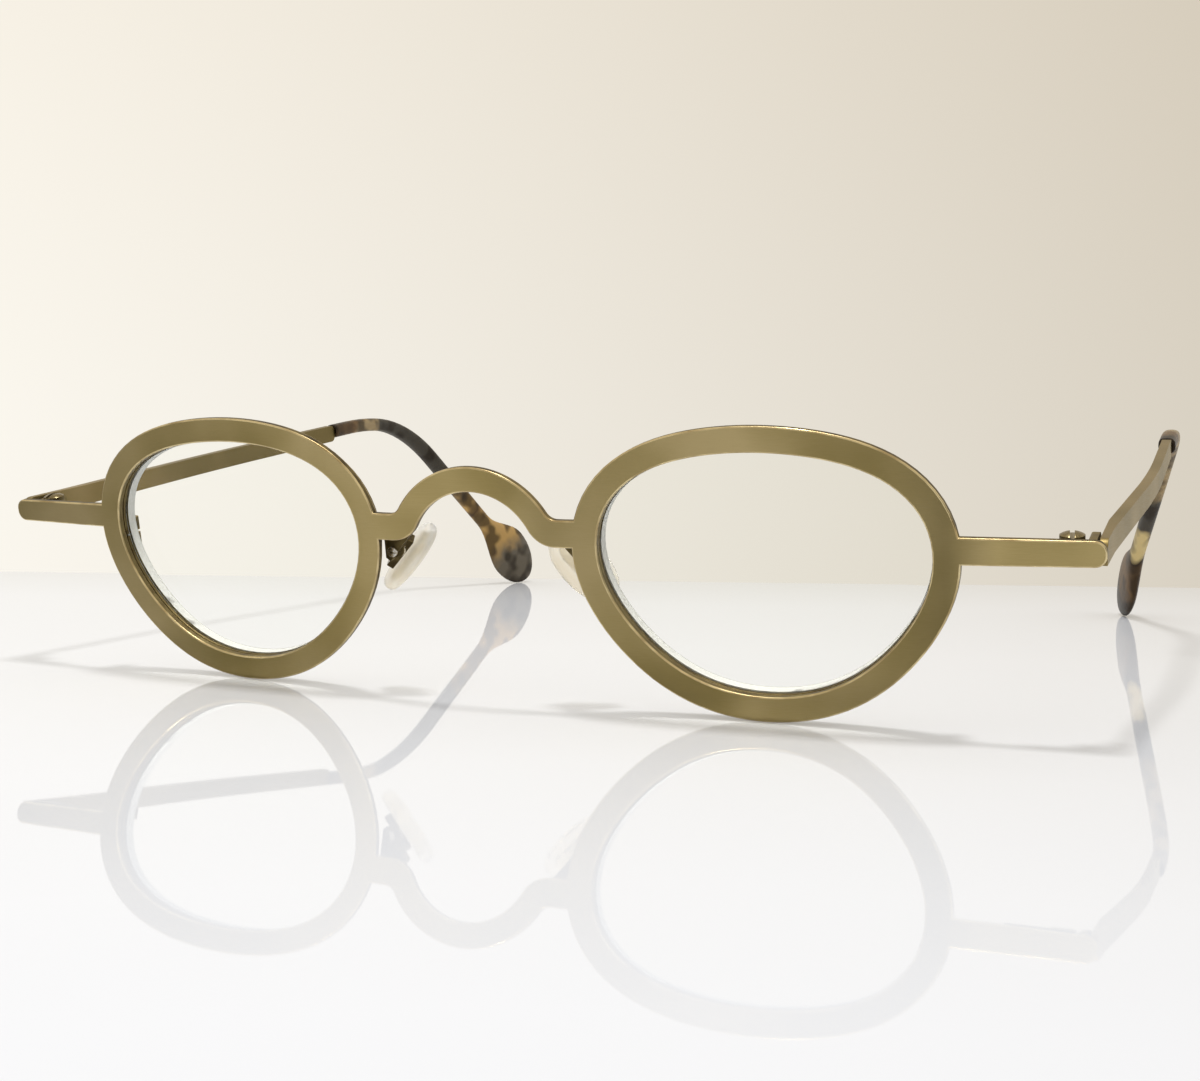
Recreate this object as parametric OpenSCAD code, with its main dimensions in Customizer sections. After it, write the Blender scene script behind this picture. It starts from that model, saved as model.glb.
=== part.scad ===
// Metal spectacles: a flat cut brass front with an arched bridge, screwed eyewires and lenses,
// folding temples with acetate tips, and silicone nose pads.
// They stand as they do on a table: on both rims and both tips, with the temples open.
// +X is to the right seen from the front, +Y runs back along the temples, +Z is up.

/* [Front] */
// Mean radius of each rim's outline
eye_r = 18; // [17:0.25:19]
// How much wider than tall the rim is
eye_wide = 0.12; // [0.1:0.005:0.14]
// How much the top is flattened and the bottom drawn in
eye_pear = 0.041; // [0.03:0.001:0.05]
// Gap between the two rims
rim_gap = 23.6; // [23:0.2:26]
// Width of the rim's face
rim_w = 2.8; // [2.5:0.1:3.2]
// Thickness of the brass sheet
sheet_t = 0.9; // [0.8:0.1:1.1]
// Forward lean of the front as it stands
lean = 12.3; // [10:0.1:14]
// Turn of each half of the front towards the face
wrap = 4.35; // [3:0.05:6]

/* [Bridge] */
// Outer radius of the arch
arch_r = 10.5; // [10:0.1:10.8]
// Width of the arch band
arch_band = 2.8; // [2.4:0.1:3.2]
// Height of the arch centre above the middle of the eye
arch_rise = 0.2; // [0:0.05:0.8]
// Height of the foot that joins the arch to the rim
foot_h = 3.05; // [2.6:0.05:3.4]

/* [End bars] */
// Length of the bar from the rim to its end
bar_len = 13.9; // [12.5:0.1:16]
// Height of the bar at the rim
bar_h = 2.9; // [2.7:0.1:3.3]
// Height of the bar at its outer end
bar_end_h = 2.7; // [2.6:0.1:3]
// Height of the bar's middle above the middle of the eye
bar_up = 2.6; // [2:0.1:3.2]

/* [Eyewire and lens] */
// Depth of the eyewire behind the sheet
wire_t = 1.3; // [1.2:0.1:1.6]
// How far the eyewire stands inside the rim's edge
wire_inset = 1; // [0.9:0.05:1.1]
// Depth of the lens groove
groove_d = 0.4; // [0.3:0.05:0.5]
// Thickness of the lens
lens_t = 2.2; // [1.8:0.1:2.4]
// Height of each closing block
lock_h = 1.75; // [1.5:0.05:2]

/* [Hinge] */
// Radius of the hinge barrels
barrel_r = 1.25; // [1.15:0.05:1.3]
// Height of the whole barrel
barrel_h = 2.2; // [2.1:0.05:2.4]
// Diameter of the hinge screw's shank
screw_d = 1.2; // [1:0.05:1.3]
// Diameter of the hinge screw's head
head_d = 2.5; // [2.3:0.1:2.6]

/* [Temples] */
// Length of the metal temple behind the hinge
temple_len = 72.5; // [66:0.5:80]
// Height of the temple bar
temple_h = 2.6; // [2.4:0.1:2.8]
// Thickness of the temple bar
temple_t = 1.2; // [1:0.1:1.4]
// Upward slope of the temple as it stands
temple_rise = 7.4; // [6:0.1:8.5]

// Outward lean of the temple behind the hinge
bow_out = 2.3; // [1:0.1:3]
// Inward lean of the temple before the tip
bow_in = 1.3; // [0.5:0.1:2]

/* [Tips] */
// Downward slope of the tip behind the ear
tip_drop = 40; // [35:1:46]
// Inward turn of the tip behind the ear
tip_turn = 16.5; // [10:0.5:20]
// Height of the tip where it meets the metal
tip_h = 2.2; // [2.1:0.1:2.6]
// Thickness of the tip
tip_t = 2.3; // [2.1:0.1:2.8]
// Width of the paddle end
paddle_w = 9.8; // [8:0.1:10.6]
// Length of the paddle's rounded end
paddle_end = 7.6; // [6:0.1:8.4]

/* [Nose pads] */
// Length of the pad
pad_len = 9.6; // [9:0.1:10.2]
// Width of the pad
pad_w = 6.6; // [6:0.1:7]
// Thickness of the pad, before its back is cut flat
pad_t = 2.4; // [2.2:0.1:2.6]
// Lean of the pad towards the nose
pad_lean = 43; // [38:1:46]
// Turn of the pad to follow the nose
pad_splay = 25; // [18:1:30]

/* [Fits] */
// Clearance between parts that turn on a pin
run_gap = 0.03; // [0.02:0.01:0.05]
// Clearance between flat faces that slide
face_gap = 0.06; // [0.04:0.01:0.08]
// Clearance round the lens and the temple core
seat_gap = 0.04; // [0.03:0.01:0.06]

/* [Hidden] */
$fn = 48;

// Colours of the photographed materials
brass = "#9C8859";
dark_brass = "#5E5236";
steel = "#8F8B80";
clear = "#E4E8E2";
tortoise = "#5A4630";
silicone = "#EFE6CC";

// Eye outline: a smooth closed curve in polar form, offset along its own normal
eye_square = 0.005;
eye_tuck = 0.009;
eye_skew = -0.006;
eye_n = 96;
function eye_rad(a) = eye_r * (1 + eye_wide * cos(2 * a) + eye_pear * sin(3 * a)
    + eye_square * cos(4 * a) + eye_tuck * sin(5 * a) + eye_skew * sin(2 * a));
function eye_slope(a) = eye_r * (-2 * eye_wide * sin(2 * a) + 3 * eye_pear * cos(3 * a)
    - 4 * eye_square * sin(4 * a) + 5 * eye_tuck * cos(5 * a) + 2 * eye_skew * cos(2 * a));
function eye_point(a, off) = let (r = eye_rad(a), d = eye_slope(a),
    n = [r * cos(a) + d * sin(a), r * sin(a) - d * cos(a)])
    [r * cos(a), r * sin(a)] + off * n / norm(n);
function eye_ring(off) = [for (i = [0:eye_n - 1]) eye_point(360 * i / eye_n, off)];
function arc(c, r, a0, a1, n, first = 0) = [for (i = [first:n]) let (a = a0 + (a1 - a0) * i / n)
    c + r * [cos(a), sin(a)]];

eye_v = -min([for (p = eye_ring(0)) p[1]]);
eye_in = -min([for (p = eye_ring(0)) p[0]]);
eye_out = max([for (p = eye_ring(0)) p[0]]);
eye_x = rim_gap / 2 + eye_in;
bend_in = 0.8;
bend_x = rim_gap / 2 - bend_in;

// Bridge: an arch band with a rounded foot on each side
arch_in = arch_r - arch_band;
arch_v = eye_v + arch_rise;
foot_up = 1.85;
foot_lo = arch_v + foot_up;
foot_hi = foot_lo + foot_h;
foot_end = rim_gap / 2 + rim_w / 2;
fillet_o = 1.5;
fillet_i = 3.5;
fo_v = foot_hi + fillet_o;
fo_x = sqrt(pow(arch_r + fillet_o, 2) - pow(fo_v - arch_v, 2));
fi_v = foot_lo + fillet_i;
fi_x = sqrt(pow(arch_in + fillet_i, 2) - pow(fi_v - arch_v, 2));
fo_a = atan2(fo_v - arch_v, fo_x);
fi_a = atan2(fi_v - arch_v, fi_x);
half_bridge = concat(
    arc([0, arch_v], arch_r, 90, fo_a, 24),
    arc([fo_x, fo_v], fillet_o, 180 + fo_a, 270, 8, 1),
    [[foot_end, foot_hi], [foot_end, foot_lo]],
    arc([fi_x, fi_v], fillet_i, 270, 180 + fi_a, 10),
    arc([0, arch_v], arch_in, fi_a, 90, 24, 1));

// End bar, and the hinge behind it
bar_v = eye_v + bar_up;
bar_end = eye_x + eye_out + bar_len;
bar_round = 1.2;
bar_root = eye_x + eye_out - rim_w / 2;
hinge_back = 3.4;
hinge_drop = 0.4;
base_len = 5.6;
base_t = 0.85;
hinge_u = bar_end - hinge_back;
hinge_v = bar_v - hinge_drop;
hinge_y = sheet_t + base_t + barrel_r;
hinge_fx = bend_x + (hinge_u - bend_x) * cos(wrap) - hinge_y * sin(wrap);
hinge_fy = (hinge_u - bend_x) * sin(wrap) + hinge_y * cos(wrap);
knuckle_share = 0.36;
knuckle_h = (barrel_h - 2 * face_gap) * knuckle_share;
outer_h = (barrel_h - 2 * face_gap - knuckle_h) / 2;
head_h = 0.85;
dome_r = 2.3;
slot_w = 0.46;
slot_d = 0.5;
slot_turn = 97;

// Standing height: the lowest point of the rims is on the table
front_y_of = function (u, y) (u - bend_x) * sin(wrap) + y * cos(wrap);
rim_low = min([for (p = eye_ring(0)) front_y_of(eye_x + p[0], 0) * sin(lean) + (eye_v + p[1]) * cos(lean)]);
front_z = -rim_low;

// Temple: its middle plane, its start and its slope against the front
temple_x = bend_x + (bar_end - bend_x) * cos(wrap) - sheet_t * sin(wrap) - temple_t / 2;
temple_drop = 0.2;
temple_v = bar_v - temple_drop;
hinge_w = [temple_x, hinge_fy * cos(lean) - temple_v * sin(lean),
    front_z + hinge_fy * sin(lean) + temple_v * cos(lean)];
stop_gap = 0.3;
temple_front = hinge_y - sheet_t - stop_gap;
core_len = 6;
core_h = 1.2;
core_t = 1.1;
tip_lift = 0.3;
// Seen from above the temple runs straight past the hinge, leans out, then curves in again
bow_from = 5.2;
bow_share = 0.41;
bow_end_share = 0.72;
bow_n = 10;
bow_mid = temple_len * bow_share;
bow_end = temple_len * bow_end_share;
bow_r = (bow_end - bow_mid) / (bow_out + bow_in) * 180 / PI;
function temple_turn(s) = s < bow_from ? 0 : s == bow_from ? bow_out / 2 : s <= bow_mid ? bow_out
    : s < bow_end ? bow_out - (bow_out + bow_in) * (s - bow_mid) / (bow_end - bow_mid) : -bow_in;
function temple_mid(s) = s <= bow_from ? [0, s]
    : s <= bow_mid ? [0, bow_from] + (s - bow_from) * [sin(bow_out), cos(bow_out)]
    : s <= bow_end ? temple_mid(bow_mid)
        + bow_r * [cos(temple_turn(s)) - cos(bow_out), sin(bow_out) - sin(temple_turn(s))]
    : temple_mid(bow_end) + (s - bow_end) * [-sin(bow_in), cos(bow_in)];
function temple_edge(s, side) = let (a = temple_turn(s))
    temple_mid(s) + side * temple_t / 2 * [cos(a), -sin(a)];
temple_stops = concat([-temple_front, bow_from],
    [for (i = [0:bow_n]) bow_mid + (bow_end - bow_mid) * i / bow_n], [temple_len + core_len]);
temple_plan = concat([for (s = temple_stops) temple_edge(s, 1)],
    [for (i = [len(temple_stops) - 1:-1:0]) temple_edge(temple_stops[i], -1)]);
temple_end = temple_mid(temple_len);

// Tip: rings along a route that runs on from the temple, flattens, bends and drops to the table
level_at = 5;
bend_at = 13.7;
drop_at = 31;
swell_len = 9.8;
ring_n = 20;
function tip_pitch(s) = s < level_at ? temple_rise
    : s < bend_at ? temple_rise * (bend_at - s) / (bend_at - level_at)
    : s < drop_at ? -tip_drop * (s - bend_at) / (drop_at - bend_at) : -tip_drop;
function tip_yaw(s) = s < bend_at ? bow_in
    : s < drop_at ? bow_in + (tip_turn - bow_in) * (s - bend_at) / (drop_at - bend_at) : tip_turn;
function tip_dir(s) = let (pitch = tip_pitch(s), yaw = tip_yaw(s))
    [-sin(yaw) * cos(pitch), cos(yaw) * cos(pitch), sin(pitch)];
function tip_side(s) = [cos(tip_yaw(s)), sin(tip_yaw(s)), 0];
tip_start = hinge_w + [temple_end[0], temple_end[1] * cos(temple_rise), temple_end[1] * sin(temple_rise)]
    + seat_gap * tip_dir(0) + tip_lift * cross(tip_side(0), tip_dir(0));
walk_step = drop_at / 31;
function tip_walk(s, ds) = s <= ds ? tip_start + s * tip_dir(s / 2)
    : tip_walk(s - ds, ds) + ds * tip_dir(s - ds / 2);
drop_start = tip_walk(drop_at, walk_step);
paddle_low = sqrt(pow(paddle_end * sin(tip_drop), 2) + pow(paddle_w / 2 * cos(tip_drop), 2));
paddle_at = drop_at + (drop_start[2] - paddle_low) / sin(tip_drop);
swell_at = paddle_at - swell_len;
tip_end = paddle_at + paddle_end;
function tip_pos(s) = s <= drop_at ? tip_walk(s, walk_step) : drop_start + (s - drop_at) * tip_dir(s);
function ease(t) = t * t * (3 - 2 * t);
neck_more = 0.5;
neck_h = tip_h + neck_more;
function round_off(s) = s <= paddle_at ? 1 : sqrt(max(0, 1 - pow((s - paddle_at) / paddle_end, 2)));
function tip_high(s) = s < bend_at ? tip_h
    : s < drop_at ? tip_h + (neck_h - tip_h) * ease((s - bend_at) / (drop_at - bend_at))
    : s < swell_at ? neck_h
    : s < paddle_at ? neck_h + (paddle_w - neck_h) * ease((s - swell_at) / swell_len)
    : paddle_w * round_off(s);
function tip_thick(s) = s < paddle_at ? tip_t : tip_t * pow(round_off(s), 0.6);
function squared(t, p) = sign(t) * pow(abs(t), p);
// Exponents of the section: squarish on the temple, nearly oval on the paddle
box_form = 0.7;
oval_form = 0.95;
function tip_form(s) = s < drop_at ? box_form : s >= paddle_at ? oval_form
    : box_form + (oval_form - box_form) * ease((s - drop_at) / (paddle_at - drop_at));
function tip_ring(s) = let (c = tip_pos(s), d = tip_dir(s), x = tip_side(s), z = cross(x, d),
    box = tip_form(s))
    [for (i = [0:ring_n - 1]) c + x * tip_thick(s) / 2 * squared(cos(360 * i / ring_n), box)
        - z * tip_high(s) / 2 * squared(sin(360 * i / ring_n), box)];
tip_stations = concat([0, level_at / 2, level_at],
    [for (i = [1:3]) level_at + (bend_at - level_at) * i / 4],
    [for (i = [0:10]) bend_at + (drop_at - bend_at) * i / 10],
    [for (i = [1:3]) drop_at + (swell_at - drop_at) * i / 3],
    [for (i = [1:8]) swell_at + swell_len * i / 8],
    [for (i = [1:8]) paddle_at + paddle_end * sin(84 * i / 8)]);
tip_rings = [for (s = tip_stations) tip_ring(s)];
tip_points = [for (ring = tip_rings) each ring];
tip_count = len(tip_stations);
// Faces of a closed skin over a row of rings
function loft_faces(n, count) = concat(
    [[for (i = [0:n - 1]) i]],
    [for (k = [0:count - 2], i = [0:n - 1]) let (a = k * n + i, b = k * n + (i + 1) % n)
        each [[a, a + n, b], [b, a + n, b + n]]],
    [[for (i = [n - 1:-1:0]) (count - 1) * n + i]]);
tip_faces = loft_faces(ring_n, tip_count);

// Origin: under the middle of the whole outline
front_most = min([for (p = concat(eye_ring(0), [[-eye_x, arch_v + arch_r - eye_v]]))
    let (u = eye_x + p[0]) (u > bend_x ? front_y_of(u, 0) : 0) * cos(lean) - (eye_v + p[1]) * sin(lean)]);
rear_most = max([for (p = tip_points) p[1]]);
origin_y = (front_most + rear_most) / 2;

// Nose pads, in the frame of the front
pad_in = 0.9;
pad_down = 1.3;
pad_x = rim_gap / 2 - pad_in;
pad_y = 5.3;
pad_v = eye_v - pad_down;
// Each pad hangs on a plate that a stem holds behind the bridge foot
plate_back = 1.8;
plate_y = sheet_t + plate_back;
pivot_in = 0.24;
pivot_down = 0.02;
pad_pivot = [rim_gap / 2 - pivot_in, eye_v - pivot_down];
plate_t = 0.8;
plate_reach = 2.5;
plate_tip_up = 2.2;
plate_low_in = 0.45;
plate_low = 1.2;
plate_out = 1;
plate_low_out = 0.8;
plate_top = 1.3;
plate_lean = 1.3;
pad_screw_d = 0.9;
pad_head_d = 1.2;
mount_r = 0.95;
mount_t = 0.5;
mount_y = plate_y + plate_t + face_gap;
grip_w = 1.6;
grip_len = 4.4;
grip_t = 0.85;
stem_w = 1.3;
stem_h = 1.6;
stem_in = 0.1;

// The pad is a rounded oval, cut flat where the grip plate lies against it
pad_cut = 0.35;
pad_back = pad_t / 2 - pad_cut;
pad_oval = 2.2;
pad_form = 0.9;
pad_ring_n = 24;
pad_steps = 14;
pad_last = 82;
function pad_share(k) = sin(-pad_last + 2 * pad_last * k / pad_steps);
function pad_full(u) = pow(1 - pow(abs(u), pad_oval), 1 / pad_oval);
function pad_ring(u) = let (full = pad_full(u)) [for (i = [0:pad_ring_n - 1]) let (a = 360 * i / pad_ring_n)
    [min(pad_back, pad_t / 2 * sqrt(full) * squared(cos(a), pad_form)),
        pad_w / 2 * full * squared(sin(a), pad_form), pad_len / 2 * u]];
pad_points = [for (k = [0:pad_steps]) each pad_ring(pad_share(k))];
pad_faces = loft_faces(pad_ring_n, pad_steps + 1);

module right_or_left(side) {
    if (side > 0) children();
    else mirror([1, 0, 0]) children();
}
module front_frame() {
    translate([0, -origin_y, front_z]) rotate([lean, 0, 0]) children();
}
module half_frame() {
    front_frame() translate([bend_x, 0, 0]) rotate([0, 0, wrap]) translate([-bend_x, 0, 0]) children();
}
module eye_frame() {
    half_frame() translate([eye_x, 0, eye_v]) children();
}
module hinge_frame() {
    front_frame() translate([hinge_fx, hinge_fy, hinge_v]) children();
}
module temple_frame() {
    translate([hinge_w[0], hinge_w[1] - origin_y, hinge_w[2]]) rotate([temple_rise, 0, 0]) children();
}
module pad_frame() {
    front_frame() translate([pad_x, pad_y, pad_v])
        rotate([0, -pad_lean, 0]) rotate([0, 0, -pad_splay]) children();
}
// A flat shape in X and Z, from depth y0 back to depth y1
module slab(y0, y1) {
    translate([0, y1, 0]) rotate([90, 0, 0]) linear_extrude(y1 - y0) children();
}
// A round bar along Y
module rod_y(d, y0, y1) {
    translate([0, y0, 0]) rotate([-90, 0, 0]) cylinder(d = d, h = y1 - y0);
}

// One half of the front as seen square on: what lies past the fold is foreshortened by its turn
function seen(points) = [for (p = points)
    [p[0] < bend_x ? p[0] : bend_x + (p[0] - bend_x) * cos(wrap), p[1]]];
function at_eye(points) = [for (p = points) p + [eye_x, eye_v]];
bar_outline = concat([[bar_root, bar_v - bar_h / 2]],
    arc([bar_end - bar_round, bar_v - bar_end_h / 2 + bar_round], bar_round, -90, 0, 8),
    arc([bar_end - bar_round, bar_v + bar_end_h / 2 - bar_round], bar_round, 0, 90, 8),
    [[bar_root, bar_v + bar_h / 2]]);
module half_outline() {
    difference() {
        union() {
            polygon(seen(half_bridge));
            polygon(seen(at_eye(eye_ring(0))));
            polygon(seen(bar_outline));
        }
        polygon(seen(at_eye(eye_ring(-rim_w))));
    }
}
// Half of the folded sheet seen from above: flat across the bridge, then turned back
wing = bar_end - bend_x + 1;
fold_back = sheet_t * tan(wrap / 2);
half_sheet = [[bend_x, 0], [bend_x + wing * cos(wrap), wing * sin(wrap)],
    [bend_x + wing * cos(wrap) - sheet_t * sin(wrap), wing * sin(wrap) + sheet_t * cos(wrap)],
    [bend_x - fold_back, sheet_t]];
front_deep = wing * sin(wrap) + 2 * sheet_t;
module half_plate() {
    intersection() {
        slab(-1, front_deep) half_outline();
        translate([0, 0, -1]) linear_extrude(3 * eye_v) polygon(concat([[0, 0]], half_sheet, [[0, sheet_t]]));
    }
}
module front_plate() {
    color(brass) front_frame() {
        half_plate();
        mirror([1, 0, 0]) half_plate();
    }
}

groove_back = 0.45;
groove_y = sheet_t + groove_back;
groove_w = 0.5;
wire_back = sheet_t + wire_t;
split_w = 0.24;
module eyewire(side) {
    color(brass) right_or_left(side) eye_frame() difference() {
        slab(sheet_t, wire_back) polygon(eye_ring(-wire_inset));
        slab(0, wire_back + 1) polygon(eye_ring(-rim_w));
        slab(groove_y, groove_y + groove_w) polygon(eye_ring(-rim_w + groove_d));
        translate([eye_out - rim_w - 1, 0, -split_w / 2]) cube([rim_w + 2, wire_back + 1, split_w]);
    }
}
module lens(side) {
    front = groove_y - seat_gap;
    color(clear, 0.35) right_or_left(side) eye_frame() {
        slab(front, front + lens_t) polygon(eye_ring(-rim_w - seat_gap));
        slab(groove_y + seat_gap, groove_y + groove_w - seat_gap)
            polygon(eye_ring(-rim_w + groove_d - seat_gap));
    }
}

lock_lap = 0.1;
lock_w = rim_w - wire_inset - 2 * lock_lap;
lock_d = 2.1;
lock_x = eye_out - rim_w + lock_lap;
lock_screw_d = 0.8;
lock_head_d = 1.4;
lock_head_h = 0.5;
lock_slot_w = 0.28;
lock_slot_d = 0.25;
module lock_block(side, up) {
    color(brass) right_or_left(side) eye_frame() difference() {
        translate([lock_x, wire_back, up > 0 ? split_w / 2 : -split_w / 2 - lock_h])
            cube([lock_w, lock_d, lock_h]);
        translate([lock_x + lock_w / 2, wire_back + lock_d / 2, -lock_h - 1])
            cylinder(d = lock_screw_d + 2 * run_gap, h = 2 * lock_h + 2);
    }
}
module lock_screw(side) {
    top = split_w / 2 + lock_h;
    color(steel) right_or_left(side) eye_frame() translate([lock_x + lock_w / 2, wire_back + lock_d / 2, 0])
        difference() {
            union() {
                translate([0, 0, -top]) cylinder(d = lock_screw_d, h = 2 * top);
                translate([0, 0, top]) cylinder(d = lock_head_d, h = lock_head_h);
            }
            translate([-lock_head_d, -lock_slot_w / 2, top + lock_head_h - lock_slot_d])
                cube([2 * lock_head_d, lock_slot_w, lock_head_h]);
        }
}

base_trim = 0.2;
module hinge_front(side) {
    low = -barrel_h / 2;
    color(dark_brass) right_or_left(side) {
        difference() {
            union() {
                half_frame() translate([hinge_u - base_len, sheet_t, hinge_v + low])
                    cube([base_len + barrel_r - base_trim, base_t, barrel_h]);
                for (z = [low, -low - outer_h]) hinge_frame() translate([0, 0, z]) {
                    cylinder(r = barrel_r, h = outer_h);
                    rotate([0, 0, wrap]) translate([-barrel_r, -barrel_r - base_trim, 0])
                        cube([barrel_r, barrel_r + base_trim, outer_h]);
                }
            }
            hinge_frame() translate([0, 0, low - 1]) cylinder(d = screw_d + 2 * run_gap, h = barrel_h + 2);
        }
    }
}
module hinge_screw(side) {
    low = -barrel_h / 2;
    color(steel) right_or_left(side) hinge_frame() difference() {
        union() {
            translate([0, 0, low]) cylinder(d = screw_d, h = barrel_h);
            intersection() {
                translate([0, 0, -low]) cylinder(d = head_d, h = head_h);
                translate([0, 0, head_h - low - dome_r]) sphere(r = dome_r);
            }
        }
        rotate([0, 0, slot_turn]) translate([-head_d, -slot_w / 2, -low + head_h - slot_d])
            cube([2 * head_d, slot_w, head_h]);
    }
}
lobe_r = barrel_h / 2;
lobe_len = 2.9;
lobe_in = temple_x - temple_t / 2 - hinge_fx;
lobe_gap = 0.15;
lobe_t = lobe_in - barrel_r - lobe_gap;
lobe_round = 0.45;
arm_share = 0.8;
module hinge_temple(side) {
    inner = lobe_in - lobe_t;
    section = concat(arc([inner + lobe_round, lobe_r - lobe_round], lobe_round, 90, 180, 6),
        arc([inner + lobe_round, lobe_round - lobe_r], lobe_round, 180, 270, 6),
        [[lobe_in, -lobe_r], [lobe_in, lobe_r]]);
    leaf = concat(arc([lobe_len, 0], lobe_r, -90, 90, 16), arc([0, 0], lobe_r, 90, 270, 16));
    color(dark_brass) right_or_left(side) hinge_frame() difference() {
        union() {
            translate([0, 0, -knuckle_h / 2]) cylinder(r = barrel_r, h = knuckle_h);
            translate([0, -barrel_r * arm_share, -knuckle_h / 2])
                cube([lobe_in, 2 * barrel_r * arm_share, knuckle_h]);
            intersection() {
                translate([inner, 0, 0]) rotate([90, 0, 90]) linear_extrude(lobe_t) polygon(leaf);
                slab(-2 * lobe_r, lobe_len + 2 * lobe_r) polygon(section);
            }
        }
        translate([0, 0, -barrel_h]) cylinder(d = screw_d + 2 * run_gap, h = 2 * barrel_h);
    }
}
module temple_end_frame() {
    temple_frame() translate([temple_end[0], temple_end[1], 0]) rotate([0, 0, bow_in]) children();
}
module temple(side) {
    end_r = 0.9;
    front_r = 1.3;
    a = temple_h / 2;
    front = -temple_len - temple_front;
    back = front - temple_front;
    color(brass) right_or_left(side) {
        intersection() {
            temple_frame() translate([0, 0, -temple_h]) linear_extrude(2 * temple_h) polygon(temple_plan);
            temple_end_frame() translate([-temple_h, 0, 0]) rotate([90, 0, 90]) linear_extrude(2 * temple_h)
                polygon(concat([[back, -a]], arc([-end_r, -a + end_r], end_r, -90, 0, 8),
                    arc([-end_r, a - end_r], end_r, 0, 90, 8),
                    arc([front + front_r, a - front_r], front_r, 90, 180, 8), [[back, a - front_r]]));
        }
        temple_end_frame() translate([-core_t / 2, -1, tip_lift - core_h / 2])
            cube([core_t, core_len + 1, core_h]);
    }
}
module tip(side) {
    color(tortoise) right_or_left(side) difference() {
        translate([0, -origin_y, 0]) polyhedron(tip_points, tip_faces, convexity = 6);
        temple_end_frame() translate([-core_t / 2 - seat_gap, -1, tip_lift - core_h / 2 - seat_gap])
            cube([core_t + 2 * seat_gap, core_len + 1 + 2 * seat_gap, core_h + 2 * seat_gap]);
    }
}

module pad_bracket(side) {
    px = pad_pivot[0];
    pv = pad_pivot[1];
    top = foot_hi - plate_top;
    color(dark_brass) right_or_left(side) difference() {
        union() {
            front_frame() slab(plate_y, plate_y + plate_t) polygon([
                [px - plate_reach, pv + plate_tip_up], [px + plate_low_in, pv - plate_low],
                [px + plate_out, pv - plate_low_out], [px + plate_out, top], [px - plate_lean, top]]);
            half_frame() translate([bend_x + stem_in, sheet_t, top - stem_h])
                cube([stem_w, plate_back + plate_t / 2, stem_h]);
        }
        front_frame() translate([px, 0, pv]) rod_y(pad_screw_d + 2 * run_gap, -1, mount_y);
    }
}
pad_head_h = 0.35;
pad_slot_w = 0.22;
pad_slot_d = 0.18;
module pad_screw(side) {
    front = plate_y - pad_head_h;
    color(steel) right_or_left(side) front_frame() translate([pad_pivot[0], 0, pad_pivot[1]]) difference() {
        union() {
            rod_y(pad_head_d, front, plate_y);
            rod_y(pad_screw_d, plate_y, mount_y + mount_t - face_gap);
        }
        translate([-pad_head_d, front - pad_head_h, -pad_slot_w / 2])
            cube([2 * pad_head_d, pad_head_h + pad_slot_d, pad_slot_w]);
    }
}
module pad_mount(side) {
    color(dark_brass) right_or_left(side) difference() {
        union() {
            front_frame() translate([pad_pivot[0], 0, pad_pivot[1]])
                rod_y(2 * mount_r, mount_y, mount_y + mount_t);
            pad_frame() translate([pad_back, -grip_w / 2, -grip_len / 2]) cube([grip_t, grip_w, grip_len]);
        }
        front_frame() translate([pad_pivot[0], 0, pad_pivot[1]]) rod_y(pad_screw_d + 2 * run_gap, -1, 8);
        pad_frame() translate([pad_back - pad_t, -pad_w / 2, -pad_len / 2]) cube([pad_t, pad_w, pad_len]);
    }
}
module pad(side) {
    color(silicone, 0.8) right_or_left(side) pad_frame() polyhedron(pad_points, pad_faces, convexity = 4);
}

front_plate();
eyewire(-1);  // left_eyewire
eyewire(1);  // right_eyewire
lens(-1);  // left_lens
lens(1);  // right_lens
lock_block(-1, 1);  // left_lock_upper
lock_block(1, 1);  // right_lock_upper
lock_block(-1, -1);  // left_lock_lower
lock_block(1, -1);  // right_lock_lower
lock_screw(-1);  // left_lock_screw
lock_screw(1);  // right_lock_screw
hinge_front(-1);  // left_hinge_front
hinge_front(1);  // right_hinge_front
hinge_screw(-1);  // left_hinge_screw
hinge_screw(1);  // right_hinge_screw
hinge_temple(-1);  // left_hinge_temple
hinge_temple(1);  // right_hinge_temple
temple(-1);  // left_temple
temple(1);  // right_temple
tip(-1);  // left_tip
tip(1);  // right_tip
pad_bracket(-1);  // left_pad_bracket
pad_bracket(1);  // right_pad_bracket
pad_screw(-1);  // left_pad_screw
pad_screw(1);  // right_pad_screw
pad_mount(-1);  // left_pad_mount
pad_mount(1);  // right_pad_mount
pad(-1);  // left_pad
pad(1);  // right_pad
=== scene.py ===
import math

import bmesh
import bpy
from mathutils import Matrix, Vector


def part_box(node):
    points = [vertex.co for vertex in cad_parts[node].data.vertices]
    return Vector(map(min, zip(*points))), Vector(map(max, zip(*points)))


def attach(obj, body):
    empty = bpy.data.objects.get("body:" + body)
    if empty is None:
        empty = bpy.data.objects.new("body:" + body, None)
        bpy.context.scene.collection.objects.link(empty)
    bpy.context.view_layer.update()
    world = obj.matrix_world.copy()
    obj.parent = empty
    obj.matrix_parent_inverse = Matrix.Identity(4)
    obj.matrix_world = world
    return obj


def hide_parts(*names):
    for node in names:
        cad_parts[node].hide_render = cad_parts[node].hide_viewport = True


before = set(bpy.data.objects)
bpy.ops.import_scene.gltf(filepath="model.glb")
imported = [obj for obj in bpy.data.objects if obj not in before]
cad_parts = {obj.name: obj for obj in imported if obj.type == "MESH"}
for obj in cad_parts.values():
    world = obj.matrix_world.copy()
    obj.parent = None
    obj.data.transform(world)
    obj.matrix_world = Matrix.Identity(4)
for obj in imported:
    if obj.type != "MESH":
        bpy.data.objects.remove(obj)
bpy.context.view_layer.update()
scene = bpy.context.scene
sides = ("left", "right")
print("stage: frame loaded,", len(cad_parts), "nodes")


def mm(size):
    return size / 1000


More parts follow.
